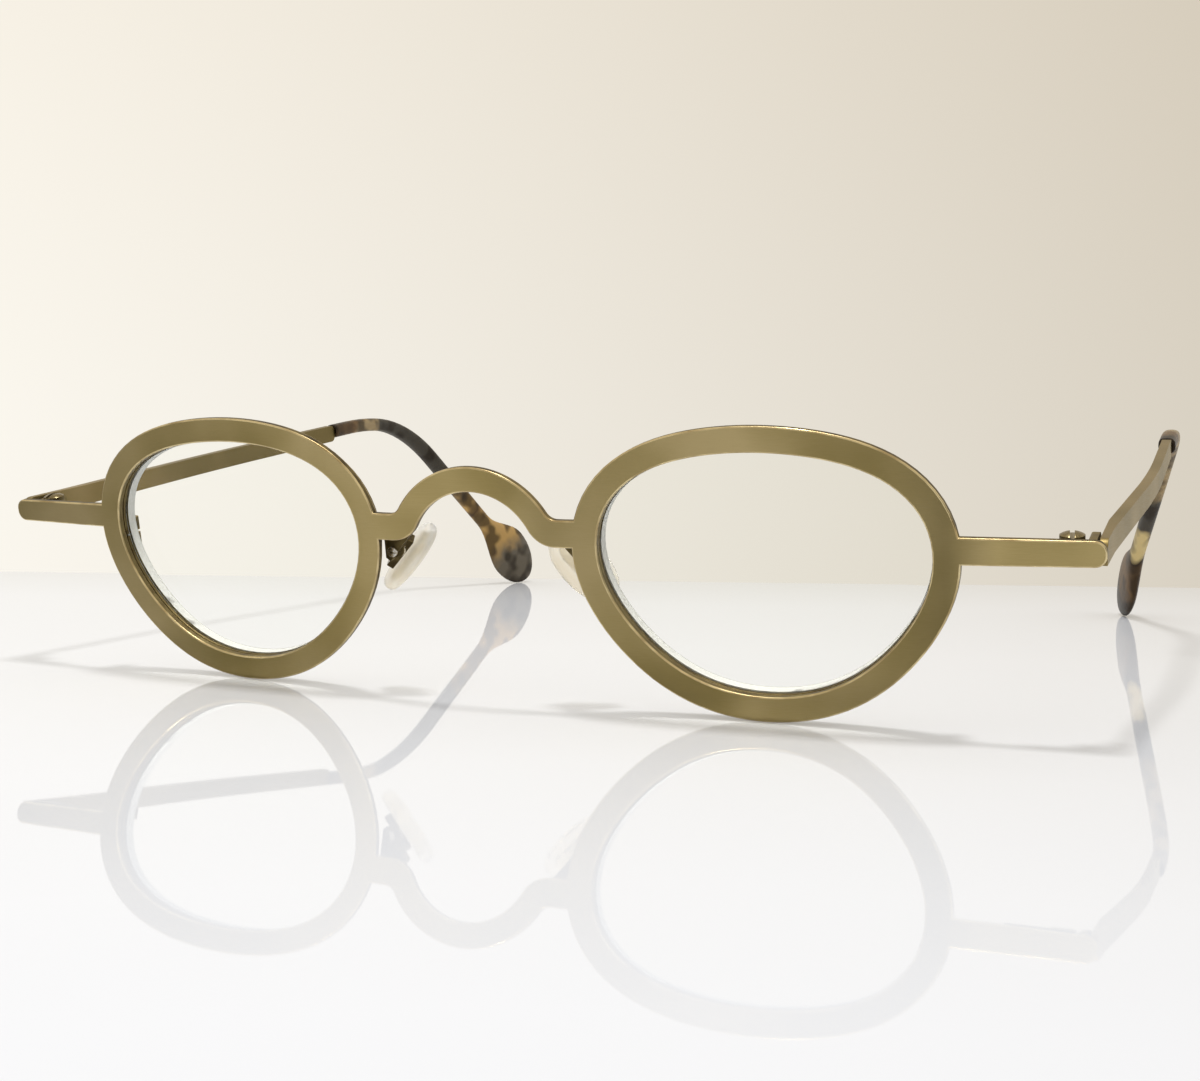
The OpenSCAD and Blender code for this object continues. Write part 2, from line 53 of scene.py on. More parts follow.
def hexLinear(text):
    channels = [int(text[i:i + 2], 16) / 255 for i in (1, 3, 5)]
    return [c / 12.92 if c <= 0.04045 else ((c + 0.055) / 1.055) ** 2.4 for c in channels] + [1.0]


# Adds a node with its settings, its input values or links, and the stops of a colour ramp from low to high
def addNode(tree, kind, inputs=None, stops=(), **settings):
    node = tree.nodes.new(kind)
    for name, value in settings.items():
        setattr(node, name, value)
    for key, value in (inputs or {}).items():
        if isinstance(value, bpy.types.NodeSocket):
            tree.links.new(value, node.inputs[key])
        else:
            node.inputs[key].default_value = value
    stops = list(stops)
    if stops:
        ramp = node.color_ramp.elements
        for spot, _ in stops[1:-1]:
            ramp.new(spot)
        for stop, (spot, colour) in zip(ramp, stops):
            stop.position = spot
            stop.color = hexLinear(colour)
    return node


def newMaterial(name):
    material = bpy.data.materials.new(name)
    material.use_nodes = True
    material.node_tree.nodes.clear()
    return material, material.node_tree


# Named tones at places in mm along a line, each blended into the next
def placedTones(tree, along, places, tones):
    first, last = places[0][0], places[-1][0]
    share = addNode(tree, "ShaderNodeMapRange", {0: along, 1: mm(first), 2: mm(last)})
    stops = [((place - first) / (last - first), tones[tone]) for place, tone in places]
    return addNode(tree, "ShaderNodeValToRGB", {"Fac": share.outputs[0]}, stops)


# Camera: solved from the outlines in the photo
camera = {
    "placeMm": (82.87, -230.21, 31.13),
    "yawDeg": 22.55, "pitchDeg": 1.95, "rollDeg": 0.84,
    "focalPx": 1677.36, "imagePx": (1200, 1081), "axisPx": (600, 481.1),
    "sensorMm": 36, "clipM": (0.01, 20),
}


def makeCamera():
    yaw, pitch, roll = (math.radians(camera[k]) for k in ("yawDeg", "pitchDeg", "rollDeg"))
    ahead = Vector((-math.sin(yaw) * math.cos(pitch), math.cos(yaw) * math.cos(pitch), -math.sin(pitch)))
    level = Vector((math.cos(yaw), math.sin(yaw), 0))
    up = level.cross(ahead)
    across = math.cos(roll) * level + math.sin(roll) * up
    upright = -math.sin(roll) * level + math.cos(roll) * up
    data = bpy.data.cameras.new("photoCamera")
    wide, high = camera["imagePx"]
    data.sensor_fit = "HORIZONTAL"
    data.sensor_width = camera["sensorMm"]
    data.lens = camera["sensorMm"] * camera["focalPx"] / wide
    data.shift_x = (wide / 2 - camera["axisPx"][0]) / wide
    data.shift_y = -(high / 2 - camera["axisPx"][1]) / wide
    data.clip_start, data.clip_end = camera["clipM"]
    obj = bpy.data.objects.new("photoCamera", data)
    turn = Matrix((across, upright, -ahead)).transposed()
    obj.matrix_world = Matrix.Translation([mm(v) for v in camera["placeMm"]]) @ turn.to_4x4()
    scene.collection.objects.link(obj)
    scene.camera = obj


makeCamera()
print("stage: camera set")

noiseLow, noiseHigh = 0.3, 0.7  # nearly all values of a noise pattern lie between these

# Sheet brass, antiqued and brushed by hand under a matt lacquer: an olive gold with fine streaks and no mirror
brassFinish = {
    # The temple tones are the front's brass made darker: painted shade on the temples
    "front": ("#998857", "#ab9968", "#bba879"), "temple": ("#7a6b41", "#8a794f", "#98865d"),
    "toneMm": 17.0, "toneSpan": (0.38, 0.5, 0.62),
    "brushWidthMm": 0.1, "brushLengthMm": 5.0, "brushShare": 0.12,
    "roughness": (0.4, 0.48), "depthMm": 0.002, "bump": 0.5,
    # Painted light and shade along the front: a brightness for places along X, darker where the front lies in shade
    # and lighter where it is lit
    "lightness": {"deepestShade": "#bebebe", "deepShade": "#dadada", "lightShade": "#ececec", "paintedLight": "#fafafa"},
    "paintedLightMm": [(-66.0, "deepestShade"), (-36.0, "deepShade"), (-6.0, "paintedLight"), (2.0, "paintedLight"), (9.0, "deepShade"),
               (30.0, "lightShade"), (46.0, "deepShade"), (51.0, "deepestShade"), (56.0, "paintedLight")],
}


def brushedBrass(name, along, tones, paintLight):
    material, tree = newMaterial(name)
    look = brassFinish
    place = addNode(tree, "ShaderNodeTexCoord").outputs["Object"]
    scale = [1 / mm(look["brushWidthMm"])] * 3
    scale["xyz".index(along)] = 1 / mm(look["brushLengthMm"])
    brush = addNode(tree, "ShaderNodeMapping", {"Vector": place, "Scale": scale})
    streak = addNode(tree, "ShaderNodeTexNoise", {"Vector": brush.outputs[0], "Scale": 1.0, "Detail": 3.0})
    tone = addNode(tree, "ShaderNodeTexNoise", {"Vector": place, "Scale": 1 / mm(look["toneMm"]), "Detail": 2.0})
    mixed = addNode(tree, "ShaderNodeMix", {0: look["brushShare"], 2: tone.outputs[0], 3: streak.outputs[0]})
    colour = addNode(tree, "ShaderNodeValToRGB", {"Fac": mixed.outputs[0]},
                     zip(look["toneSpan"], look[tones])).outputs[0]
    # Painted light and shade: the front's brass is darkened or lightened at places along X
    if paintLight:
        part = addNode(tree, "ShaderNodeSeparateXYZ", {0: place})
        paintedLight = placedTones(tree, part.outputs["X"], look["paintedLightMm"], look["lightness"])
        colour = addNode(tree, "ShaderNodeMix", {0: 1.0, 6: colour, 7: paintedLight.outputs[0]},
                         data_type="RGBA", blend_type="MULTIPLY").outputs[2]
    low, high = look["roughness"]
    rough = addNode(tree, "ShaderNodeMapRange", {
        0: streak.outputs[0], 1: noiseLow, 2: noiseHigh, 3: low, 4: high})
    bump = addNode(tree, "ShaderNodeBump", {
        "Height": streak.outputs[0], "Distance": mm(look["depthMm"]), "Strength": look["bump"]})
    shader = addNode(tree, "ShaderNodeBsdfPrincipled", {
        "Base Color": colour, "Metallic": 1.0, "Roughness": rough.outputs[0],
        "Normal": bump.outputs[0]})
    addNode(tree, "ShaderNodeOutputMaterial", {"Surface": shader.outputs[0]})
    return material


# The same brass where hands have polished its corners bright, and paler still as a painted highlight: a thin cream
# line along each edge
edgeWearAndHighlight = {"tones": ("#a8946a", "#d3c194"), "toneSpan": (0.36, 0.6), "wearMm": 3.0, "roughness": (0.36, 0.26)}


def rubbedAndHighlitBrass(name):
    material, tree = newMaterial(name)
    place = addNode(tree, "ShaderNodeTexCoord").outputs["Object"]
    lightness = addNode(tree, "ShaderNodeTexNoise", {
        "Vector": place, "Scale": 1 / mm(edgeWearAndHighlight["wearMm"]), "Detail": 3.0})
    colour = addNode(tree, "ShaderNodeValToRGB", {"Fac": lightness.outputs[0]},
                     zip(edgeWearAndHighlight["toneSpan"], edgeWearAndHighlight["tones"]))
    dull, bright = edgeWearAndHighlight["roughness"]
    rough = addNode(tree, "ShaderNodeMapRange", {
        0: lightness.outputs[0], 1: noiseLow, 2: noiseHigh, 3: dull, 4: bright})
    shader = addNode(tree, "ShaderNodeBsdfPrincipled", {
        "Base Color": colour.outputs[0], "Metallic": 1.0, "Roughness": rough.outputs[0]})
    addNode(tree, "ShaderNodeOutputMaterial", {"Surface": shader.outputs[0]})
    return material


# Brass left to oxidise in its corners and cut walls: brown, dull, a little greenish, and darker than the oxide alone
# as painted shade on the walls, eyewires and slots that lie in shade
patinaAndShadeFinish = {"wall": ("#6a5d3f", "#7b6d4a", "#897b54"), "fitting": ("#463b25", "#63573a", "#766844"),
                "spotMm": 1.6, "toneSpan": (0.36, 0.5, 0.64), "grainMm": 0.25, "depthMm": 0.01, "bump": 0.5,
                "roughness": (0.42, 0.6), "roughSpan": (0.35, 0.65)}


def oxidisedAndShadedBrass(name, tones):
    material, tree = newMaterial(name)
    look = patinaAndShadeFinish
    place = addNode(tree, "ShaderNodeTexCoord").outputs["Object"]
    spot = addNode(tree, "ShaderNodeTexNoise", {"Vector": place, "Scale": 1 / mm(look["spotMm"]), "Detail": 4.0})
    grain = addNode(tree, "ShaderNodeTexNoise", {"Vector": place, "Scale": 1 / mm(look["grainMm"])})
    colour = addNode(tree, "ShaderNodeValToRGB", {"Fac": spot.outputs[0]}, zip(look["toneSpan"], look[tones]))
    start, end = look["roughSpan"]
    low, high = look["roughness"]
    rough = addNode(tree, "ShaderNodeMapRange", {0: spot.outputs[0], 1: start, 2: end, 3: low, 4: high})
    bump = addNode(tree, "ShaderNodeBump", {
        "Height": grain.outputs[0], "Distance": mm(look["depthMm"]), "Strength": look["bump"]})
    shader = addNode(tree, "ShaderNodeBsdfPrincipled", {
        "Base Color": colour.outputs[0], "Metallic": 1.0, "Roughness": rough.outputs[0],
        "Normal": bump.outputs[0]})
    addNode(tree, "ShaderNodeOutputMaterial", {"Surface": shader.outputs[0]})
    return material


# Small steel screws, turned on a lathe, plated in a brass tone or left bright: fine tool marks and a hard glint
screwFinish = {"plated": ("#665a3e", "#948663"), "bright": ("#a8a49b", "#dedad0"), "toneSpan": (0.35, 0.65),
               "markMm": 0.12, "depthMm": 0.006, "bump": 0.5, "roughness": 0.27}


def turnedSteel(name, tones):
    material, tree = newMaterial(name)
    look = screwFinish
    place = addNode(tree, "ShaderNodeTexCoord").outputs["Object"]
    mark = addNode(tree, "ShaderNodeTexNoise", {"Vector": place, "Scale": 1 / mm(look["markMm"]), "Detail": 2.0})
    colour = addNode(tree, "ShaderNodeValToRGB", {"Fac": mark.outputs[0]}, zip(look["toneSpan"], look[tones]))
    bump = addNode(tree, "ShaderNodeBump", {
        "Height": mark.outputs[0], "Distance": mm(look["depthMm"]), "Strength": look["bump"]})
    shader = addNode(tree, "ShaderNodeBsdfPrincipled", {
        "Base Color": colour.outputs[0], "Metallic": 1.0, "Roughness": look["roughness"],
        "Normal": bump.outputs[0]})
    addNode(tree, "ShaderNodeOutputMaterial", {"Surface": shader.outputs[0]})
    return material


# Lens resin, cast, polished and coated against reflections: clear, with hardly a mirror on its faces
lensFinish = {"tint": "#fefffe", "mirror": "#58605a", "ior": 1.3, "roughness": 0.0,
              "frost": ("#f1f2ec", "#fdfdf9"), "frostMm": 0.35, "frostRoughness": 0.6}


def castResin(name):
    material, tree = newMaterial(name)
    glass = addNode(tree, "ShaderNodeBsdfPrincipled", {
        "Base Color": hexLinear(lensFinish["tint"]), "Roughness": lensFinish["roughness"], "IOR": lensFinish["ior"],
        "Specular Tint": hexLinear(lensFinish["mirror"]), "Transmission Weight": 1.0})
    clear = addNode(tree, "ShaderNodeBsdfTransparent", {"Color": hexLinear(lensFinish["tint"])})
    rays = addNode(tree, "ShaderNodeLightPath")
    mixed = addNode(tree, "ShaderNodeMixShader", {
        0: rays.outputs["Is Shadow Ray"], 1: glass.outputs[0], 2: clear.outputs[0]})
    addNode(tree, "ShaderNodeOutputMaterial", {"Surface": mixed.outputs[0]})
    return material


# The lens's edge, ground on a wheel and left unpolished: a pale frosted band
def groundResin(name):
    material, tree = newMaterial(name)
    place = addNode(tree, "ShaderNodeTexCoord").outputs["Object"]
    frost = addNode(tree, "ShaderNodeTexNoise", {
        "Vector": place, "Scale": 1 / mm(lensFinish["frostMm"]), "Detail": 3.0})
    colour = addNode(tree, "ShaderNodeValToRGB", {"Fac": frost.outputs[0]},
                     zip((noiseLow, noiseHigh), lensFinish["frost"]))
    shader = addNode(tree, "ShaderNodeBsdfPrincipled", {
        "Base Color": colour.outputs[0], "Roughness": lensFinish["frostRoughness"], "IOR": lensFinish["ior"]})
    addNode(tree, "ShaderNodeOutputMaterial", {"Surface": shader.outputs[0]})
    return material


# Cellulose acetate in tortoiseshell colours, cut from sheet and polished: bands of dark brown and honey,
# blurred where the layers were pressed together, with a soft gloss. The bands lie at places in mm along a line
# that drops at dropDeg, and waves shift them.
tipFinish = {
    "dropDeg": 40.0, "waveMm": 5.0, "waveShiftMm": 6.0,
    "fleckMm": 3.4, "fleckShare": 0.75, "fleckEdge": (0.47, 0.61),
    "roughness": 0.36, "gloss": 0.08, "glow": 0.1, "glowMm": (1.2, 0.7, 0.3),
    "tones": {"dark": "#352b20", "smoke": "#474239", "brown": "#6a5236", "horn": "#9c8763", "honey": "#b8945a",
              "cream": "#c8b27c", "ash": "#6a6254", "fleck": "#2a2219"},
    "left": [(-10.0, "dark"), (-6.0, "brown"), (-4.4, "horn"), (-1.4, "horn"), (0.6, "smoke"), (24.0, "smoke"),
             (27.0, "honey"), (30.0, "honey"), (32.5, "brown"), (35.5, "honey"), (40.0, "honey"), (44.0, "ash"),
             (50.0, "ash")],
    "right": [(-10.0, "dark"), (-6.0, "brown"), (-4.0, "horn"), (20.0, "horn"), (22.5, "smoke"), (27.8, "smoke"),
              (29.6, "cream"), (34.4, "cream"), (36.4, "dark"), (39.5, "brown"), (43.0, "brown"),
              (46.0, "smoke"), (50.0, "smoke")],
}


def tortoiseAcetate(name, side):
    material, tree = newMaterial(name)
    look = tipFinish
    place = addNode(tree, "ShaderNodeTexCoord").outputs["Object"]
    drop = math.radians(look["dropDeg"])
    along = addNode(tree, "ShaderNodeVectorMath", {0: place, 1: (0.0, math.cos(drop), -math.sin(drop))},
                    operation="DOT_PRODUCT")
    wave = addNode(tree, "ShaderNodeTexNoise", {"Vector": place, "Scale": 1 / mm(look["waveMm"]), "Detail": 2.0})
    shift = addNode(tree, "ShaderNodeMapRange", {
        0: wave.outputs[0], 3: -mm(look["waveShiftMm"]), 4: mm(look["waveShiftMm"])}, clamp=False)
    warped = addNode(tree, "ShaderNodeMath", {0: along.outputs["Value"], 1: shift.outputs[0]}, operation="ADD")
    band = placedTones(tree, warped.outputs[0], look[side], look["tones"])
    fleck = addNode(tree, "ShaderNodeTexNoise", {"Vector": place, "Scale": 1 / mm(look["fleckMm"]), "Detail": 1.0})
    low, high = look["fleckEdge"]
    darken = addNode(tree, "ShaderNodeMapRange", {
        0: fleck.outputs[0], 1: low, 2: high, 3: 0.0, 4: look["fleckShare"]})
    colour = addNode(tree, "ShaderNodeMix", {
        0: darken.outputs[0], 6: band.outputs[0], 7: hexLinear(look["tones"]["fleck"])}, data_type="RGBA")
    shader = addNode(tree, "ShaderNodeBsdfPrincipled", {
        "Base Color": colour.outputs[2], "Roughness": look["roughness"], "Specular IOR Level": look["gloss"],
        "Subsurface Weight": look["glow"], "Subsurface Radius": [mm(v) for v in look["glowMm"]],
        "Subsurface Scale": 1.0})
    addNode(tree, "ShaderNodeOutputMaterial", {"Surface": shader.outputs[0]})
    return material


# Silicone, moulded: a half clear, milky cream with paler streaks along the pad, satin on the skin
padFinish = {"tones": ("#fcf1d8", "#fffaec"), "toneSpan": (0.38, 0.6), "streakMm": (6.0, 0.9), "depthMm": 0.04,
             "bump": 0.4, "roughness": 0.3, "ior": 1.15, "clear": 0.95, "body": 0.62, "glow": 0.45,
             "glowMm": (2.0, 1.8, 1.4), "along": {"left": (0.68, -0.16, 0.71), "right": (-0.68, -0.16, 0.71)}}


def mouldedSilicone(name, side):
    material, tree = newMaterial(name)
    look = padFinish
    place = addNode(tree, "ShaderNodeTexCoord").outputs["Object"]
    long, wide = look["streakMm"]
    axis = Vector(look["along"][side]).normalized()
    run = addNode(tree, "ShaderNodeVectorMath", {0: place, 1: axis}, operation="DOT_PRODUCT")
    pull = addNode(tree, "ShaderNodeVectorMath", {
        0: axis * (1 / mm(long) - 1 / mm(wide)), "Scale": run.outputs["Value"]}, operation="SCALE")
    across = addNode(tree, "ShaderNodeVectorMath", {0: place, "Scale": 1 / mm(wide)}, operation="SCALE")
    drawn = addNode(tree, "ShaderNodeVectorMath", {0: across.outputs[0], 1: pull.outputs[0]}, operation="ADD")
    streak = addNode(tree, "ShaderNodeTexNoise", {"Vector": drawn.outputs[0], "Scale": 1.0, "Detail": 2.0})
    colour = addNode(tree, "ShaderNodeValToRGB", {"Fac": streak.outputs[0]}, zip(look["toneSpan"], look["tones"]))
    bump = addNode(tree, "ShaderNodeBump", {
        "Height": streak.outputs[0], "Distance": mm(look["depthMm"]), "Strength": look["bump"]})
    shader = addNode(tree, "ShaderNodeBsdfPrincipled", {
        "Base Color": colour.outputs[0], "Roughness": look["roughness"], "IOR": look["ior"],
        "Transmission Weight": look["clear"], "Alpha": look["body"], "Subsurface Weight": look["glow"],
        "Subsurface Radius": [mm(v) for v in look["glowMm"]], "Subsurface Scale": 1.0,
        "Normal": bump.outputs[0]})
    addNode(tree, "ShaderNodeOutputMaterial", {"Surface": shader.outputs[0]})
    return material


# Natural nylon, moulded, for the stiff plate cast into each pad: nearly white, matt and half clear
plateFinish = {"tones": ("#faf5e8", "#fefbf2"), "grainMm": 0.5, "roughness": 0.4, "clear": 0.85, "ior": 1.2}


def mouldedNylon(name):
    material, tree = newMaterial(name)
    look = plateFinish
    place = addNode(tree, "ShaderNodeTexCoord").outputs["Object"]
    grain = addNode(tree, "ShaderNodeTexNoise", {"Vector": place, "Scale": 1 / mm(look["grainMm"]), "Detail": 2.0})
    colour = addNode(tree, "ShaderNodeValToRGB", {"Fac": grain.outputs[0]}, zip((noiseLow, noiseHigh), look["tones"]))
    shader = addNode(tree, "ShaderNodeBsdfPrincipled", {
        "Base Color": colour.outputs[0], "Roughness": look["roughness"], "Transmission Weight": look["clear"],
        "IOR": look["ior"]})
    addNode(tree, "ShaderNodeOutputMaterial", {"Surface": shader.outputs[0]})
    return material


brassFront = brushedBrass("brushedBrassFront", "x", "front", True)
shadedBrassTemple = brushedBrass("brushedBrassTempleShaded", "y", "temple", False)
brassEdge = rubbedAndHighlitBrass("rubbedBrassEdgeHighlight")
brassWall = oxidisedAndShadedBrass("oxidisedBrassWallShaded", "wall")
brassDark = oxidisedAndShadedBrass("oxidisedBrassFittingShaded", "fitting")
hingeSteel = turnedSteel("turnedSteelBrassTone", "plated")
padSteel = turnedSteel("turnedSteelBright", "bright")
lensClear = castResin("castResinLens")
lensFrost = groundResin("groundResinEdge")
silicone = {side: mouldedSilicone("mouldedSilicone" + side.capitalize(), side) for side in sides}
nylon = mouldedNylon("mouldedNylonInsert")
acetate = {side: tortoiseAcetate("tortoiseAcetate" + side.capitalize(), side) for side in sides}
print("stage: materials made")

# How the nodes' meshes are cleaned and shaded, and the material slots of a hard piece
meshing = {"joinMm": 0.004, "flatDeg": 0.5, "sharpDeg": 28.0, "smoothDeg": 50.0, "wallShare": 0.5, "relax": 0.5}
faceSlot, edgeSlot, wallSlot, outerShadeSlot = range(4)


# A node's mesh as clean flat faces: corners joined, flat triangles merged
def cleanCopy(node):
    work = bmesh.new()
    work.from_mesh(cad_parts[node].data)
    bmesh.ops.remove_doubles(work, verts=work.verts, dist=mm(meshing["joinMm"]))
    bmesh.ops.dissolve_limit(work, angle_limit=math.radians(meshing["flatDeg"]), verts=work.verts, edges=work.edges)
    for face in work.faces:
        face.material_index = faceSlot
    return work


# Rounds every sharp outer edge; the rounding takes the material in the given slot
def roundEdges(work, sizeMm, steps, slot):
    sharp = [e for e in work.edges if len(e.link_faces) == 2 and e.is_convex
             and e.calc_face_angle(0) > math.radians(meshing["sharpDeg"])]
    bmesh.ops.bevel(work, geom=sharp, offset=mm(sizeMm), offset_type="OFFSET", segments=steps, profile=0.5,
                    affect="EDGES", clamp_overlap=True, material=slot)


def addPiece(mesh, name, node, body, materials):
    obj = bpy.data.objects.new(name, mesh)
    for material in materials:
        mesh.materials.append(material)
    scene.collection.objects.link(obj)
    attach(obj, body)
    if node:
        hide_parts(node)
    return obj


def meshFrom(work, name):
    mesh = bpy.data.meshes.new(name)
    work.to_mesh(mesh)
    work.free()
    mesh.shade_smooth()
    mesh.set_sharp_from_angle(angle=math.radians(meshing["smoothDeg"]))
    return mesh


# A hard piece: the node with rounded edges, and another material on the walls, whose faces lie along the given axis.
# Of these, the walls that look away from the nearest given centre take a material of their own.
def hardPiece(node, name, body, materials, edgeMm, steps=2, axis=None, centres=()):
    work = cleanCopy(node)
    if axis is not None:
        for face in work.faces:
            if abs(face.normal.dot(axis)) < meshing["wallShare"]:
                place = face.calc_center_median()
                outer = centres and face.normal.dot(min(centres, key=lambda c: (c - place).length) - place) < 0
                face.material_index = outerShadeSlot if outer else wallSlot
    roundEdges(work, edgeMm, steps, edgeSlot)
    obj = addPiece(meshFrom(work, name), name, node, body, materials)
    even = obj.modifiers.new("evenShading", "WEIGHTED_NORMAL")
    even.keep_sharp = True


# A soft-edged piece: the node remeshed finely and smoothed
def softPiece(node, name, body, material, voxelMm, smoothing):
    source = bpy.data.objects.new(name + "Source", meshFrom(cleanCopy(node), name + "Source"))
    scene.collection.objects.link(source)
    fine = source.modifiers.new("fine", "REMESH")
    fine.mode = "VOXEL"
    fine.voxel_size = mm(voxelMm)
    relax = source.modifiers.new("relax", "SMOOTH")
    relax.factor = meshing["relax"]
    relax.iterations = smoothing
    bpy.context.view_layer.update()
    mesh = bpy.data.meshes.new_from_object(source.evaluated_get(bpy.context.evaluated_depsgraph_get()))
    mesh.name = name
    bpy.data.objects.remove(source)
    mesh.materials.clear()
    mesh.shade_smooth()
    return addPiece(mesh, name, node, body, [material])


# The front, which leans back, with the eyewires and lenses behind it
front = {"leanDeg": 12.3, "edgeMm": 0.17, "steps": 3, "wireEdgeMm": 0.08, "lensEdgeMm": 0.2, "innerSteps": 1}
lean = Matrix.Rotation(math.radians(front["leanDeg"]), 3, "X")
frontAxis = lean @ Vector((0, 1, 0))
lensCentres = [sum(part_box(side + "_lens"), Vector()) / 2 for side in sides]
# The sheet's cut walls take darker brass, partly oxide and partly painted shade; the walls that look away from the
# lenses take the darkest, as painted shade
hardPiece("front_plate", "frontSheet", "front", [brassFront, brassEdge, brassWall, brassDark],
          front["edgeMm"], front["steps"], frontAxis, lensCentres)
for side in sides:
    # The eyewires are darkened as painted shade between the sheet and the lens, with darkest edges for the shade in
    # the groove
    hardPiece(side + "_eyewire", side + "Eyewire", "front", [brassWall, brassDark, brassWall],
              front["wireEdgeMm"], front["innerSteps"], frontAxis)
    hardPiece(side + "_lens", side + "Lens", "front", [lensClear, lensFrost, lensFrost],
              front["lensEdgeMm"], front["innerSteps"], frontAxis)
print("stage: front and lenses made")

# Closing blocks and screws behind the rims, hinges and pad brackets
fitting = {"blockEdgeMm": 0.14, "leafEdgeMm": 0.4, "leafSteps": 3, "plateEdgeMm": 0.1,
           "headEdgeMm": 0.06, "smallHeadEdgeMm": 0.08}
for side in sides:
    arm = side + "_temple_arm"
    for part in ("upper", "lower"):
        hardPiece(f"{side}_lock_{part}", f"{side}Lock{part.capitalize()}", "front",
                  [brassDark, brassEdge], fitting["blockEdgeMm"])
    hardPiece(side + "_lock_screw", side + "LockScrew", "front", [hingeSteel, hingeSteel],
              fitting["smallHeadEdgeMm"])
    hardPiece(side + "_hinge_front", side + "HingeFront", "front", [brassWall, brassWall],
              fitting["leafEdgeMm"], fitting["leafSteps"])
    hardPiece(side + "_hinge_temple", side + "HingeTemple", arm, [brassWall, brassWall],
              fitting["leafEdgeMm"], fitting["leafSteps"])
    # The screw head's walls and its slot take the darkest brass, as painted shade in the slot
    hardPiece(side + "_hinge_screw", side + "HingeScrew", "front", [hingeSteel, hingeSteel, brassDark],
              fitting["headEdgeMm"], axis=Vector((0, 0, 1)))
    hardPiece(side + "_pad_bracket", side + "PadBracket", "front", [brassDark, brassDark],
              fitting["plateEdgeMm"])
    hardPiece(side + "_pad_screw", side + "PadScrew", "front", [padSteel, padSteel],
              fitting["smallHeadEdgeMm"])
print("stage: fittings made")

# Temples and their acetate tips
arms = {"edgeMm": 0.55, "steps": 4, "tipVoxelMm": 0.2, "tipSmoothing": 5}
for side in sides:
    hardPiece(side + "_temple", side + "Temple", side + "_temple_arm",
              [shadedBrassTemple, shadedBrassTemple], arms["edgeMm"], arms["steps"])
    softPiece(side + "_tip", side + "Tip", side + "_temple_arm", acetate[side],
              arms["tipVoxelMm"], arms["tipSmoothing"])
print("stage: temples and tips made")

# Nose pads, each with the plate that is cast into it and its mount, bright where it lies on the pad
pads = {"voxelMm": 0.12, "smoothing": 6, "fill": 0.9, "leanDeg": 43.0, "splayDeg": 25.0,
        "plateMm": (0.5, 3.2, 7.0), "plateSteps": 10, "plateEdgeMm": 0.12, "plateEdgeSteps": 2}


# A flat bar with round ends, in metres, thin along X and long along Z
def roundEndedPlate(thick, wide, long, steps):
    work = bmesh.new()
    outline = []
    for end in (1, -1):
        for i in range(steps + 1):
            turn = math.pi * i / steps + (0 if end > 0 else math.pi)
            outline.append((math.cos(turn) * wide / 2, math.sin(turn) * wide / 2 + end * (long - wide) / 2))
    rims = [[work.verts.new((x, y, z)) for y, z in outline] for x in (-thick / 2, thick / 2)]
    work.faces.new(rims[0][::-1])
    work.faces.new(rims[1])
    for i in range(len(outline)):
        j = (i + 1) % len(outline)
        work.faces.new((rims[0][i], rims[0][j], rims[1][j], rims[1][i]))
    bmesh.ops.recalc_face_normals(work, faces=work.faces)
    roundEdges(work, pads["plateEdgeMm"], pads["plateEdgeSteps"], faceSlot)
    return work


for side, sign in zip(sides, (-1, 1)):
    pad = softPiece(side + "_pad", side + "NosePad", side + "_nose_pad", silicone[side],
                    pads["voxelMm"], pads["smoothing"])
    low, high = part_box(side + "_pad")
    turn = (lean @ Matrix.Rotation(math.radians(-sign * pads["leanDeg"]), 3, "Y")
            @ Matrix.Rotation(math.radians(-sign * pads["splayDeg"]), 3, "Z"))
    hardPiece(side + "_pad_mount", side + "PadMount", side + "_nose_pad",
              [padSteel, brassDark, brassDark], fitting["plateEdgeMm"], axis=turn @ Vector((1, 0, 0)))
    work = roundEndedPlate(*(mm(v) for v in pads["plateMm"]), pads["plateSteps"])
    work.transform(Matrix.Translation((low + high) / 2) @ turn.to_4x4())
    addPiece(meshFrom(work, side + "PadPlate"), side + "PadPlate", None, side + "_nose_pad", [nylon])
print("stage: nose pads made")

# Table of white acrylic, polished: bright, with a faded mirror image, and greyer towards its far edge as painted
# shade
table = {"white": "#f9f9fa", "farEdgeShade": "#edecea", "fadeMm": 44.0, "roughness": 0.02, "ior": 1.29, "thickMm": 12.0,
         "farEdgeMm": ((-420.0, -81.0), (420.0, 277.5)), "nearMm": -900.0}


